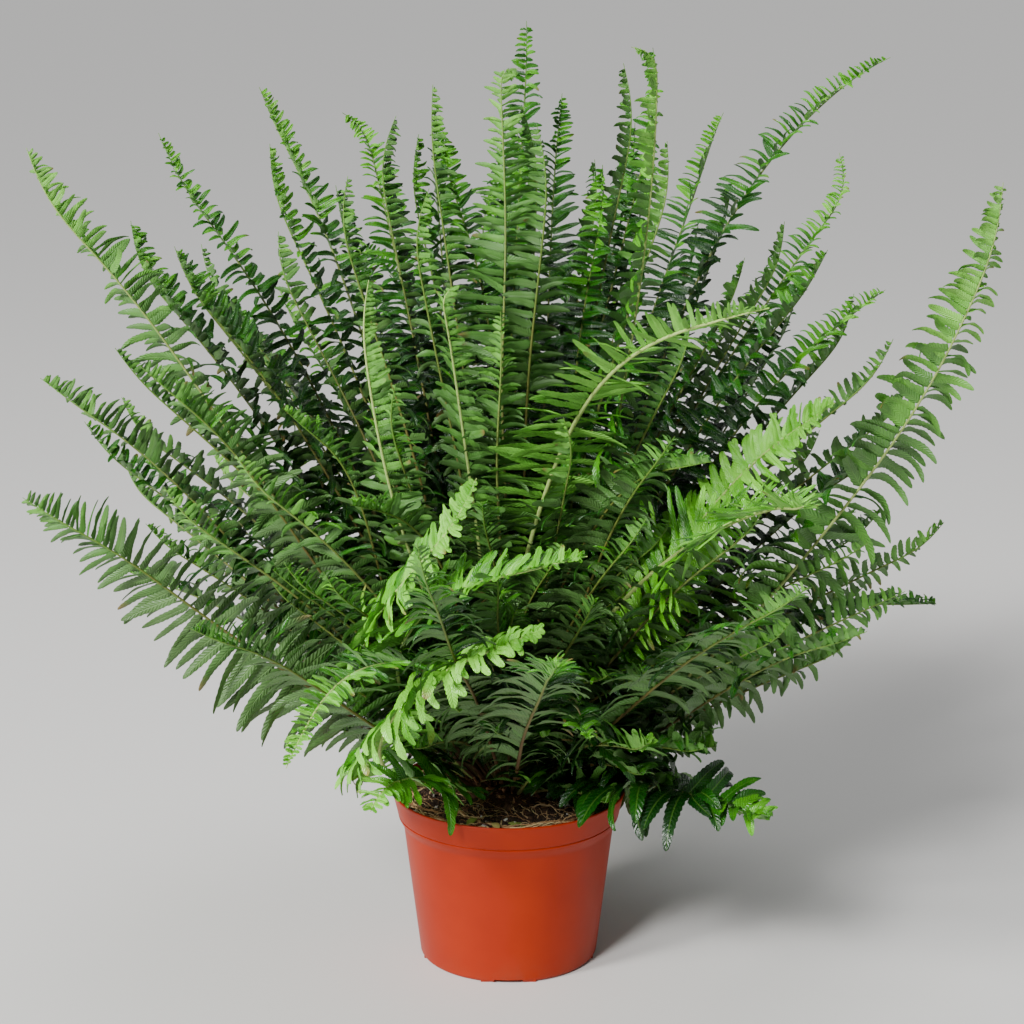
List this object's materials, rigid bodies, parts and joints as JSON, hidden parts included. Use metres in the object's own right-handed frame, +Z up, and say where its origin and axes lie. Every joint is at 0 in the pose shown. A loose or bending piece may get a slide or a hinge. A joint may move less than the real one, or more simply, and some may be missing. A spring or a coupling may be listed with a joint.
{
  "type": "potted fern",
  "caption": "Sword fern with long arching fronds of serrated leaflets rising from a low crown, in a tapered round plastic nursery pot with a flared collar.",
  "frame": {"origin": "on the pot's axis, on the plane the pot's foot ring stands on", "axes": "+Z up along the pot's axis, +Y to the back, +X to the right as seen from the front"},
  "size_m": [0.6005, 0.6049, 0.5999],
  "materials": {
    "pot_plastic": "satin",
    "soil": "matte",
    "rhizome": "matte",
    "root_fibre": "matte",
    "leaf": "satin",
    "young_leaf": "satin"
  },
  "bodies": {
    "root": {"pot": "pot_plastic", "soil": "soil", "crown": "rhizome", "runner_1": "root_fibre", "runner_2": "root_fibre", "runner_3": "root_fibre", "upright_frond_01": "leaf", "upright_frond_02": "leaf", "upright_frond_03": "leaf", "upright_frond_04": "leaf", "upright_frond_05": "leaf", "upright_frond_06": "young_leaf", "upright_frond_07": "leaf", "back_frond_01": "leaf", "back_frond_02": "leaf", "back_frond_03": "leaf", "back_frond_04": "leaf", "back_frond_05": "leaf", "back_frond_06": "leaf", "back_frond_07": "leaf", "back_frond_08": "leaf", "back_frond_09": "leaf", "back_frond_10": "leaf", "back_frond_11": "leaf", "back_frond_12": "leaf", "back_frond_13": "leaf", "back_frond_14": "leaf", "back_frond_15": "leaf", "back_frond_16": "leaf", "left_frond_01": "leaf", "left_frond_02": "leaf", "left_frond_03": "leaf", "left_frond_04": "leaf", "left_frond_05": "leaf", "left_frond_06": "leaf", "left_frond_07": "leaf", "left_frond_08": "leaf", "right_frond_01": "leaf", "right_frond_02": "leaf", "right_frond_03": "leaf", "right_frond_04": "leaf", "right_frond_05": "leaf", "right_frond_06": "leaf", "right_frond_07": "leaf", "front_frond_01": "young_leaf", "front_frond_02": "young_leaf", "front_frond_03": "young_leaf", "front_frond_04": "young_leaf", "front_frond_05": "young_leaf", "front_frond_06": "young_leaf", "front_frond_07": "young_leaf", "front_frond_08": "young_leaf", "front_frond_09": "young_leaf", "front_frond_10": "leaf", "front_frond_11": "leaf", "front_frond_12": "leaf", "front_frond_13": "leaf", "front_frond_14": "leaf", "skirt_frond_01": "leaf", "skirt_frond_02": "leaf"}
  },
  "joints": []
}
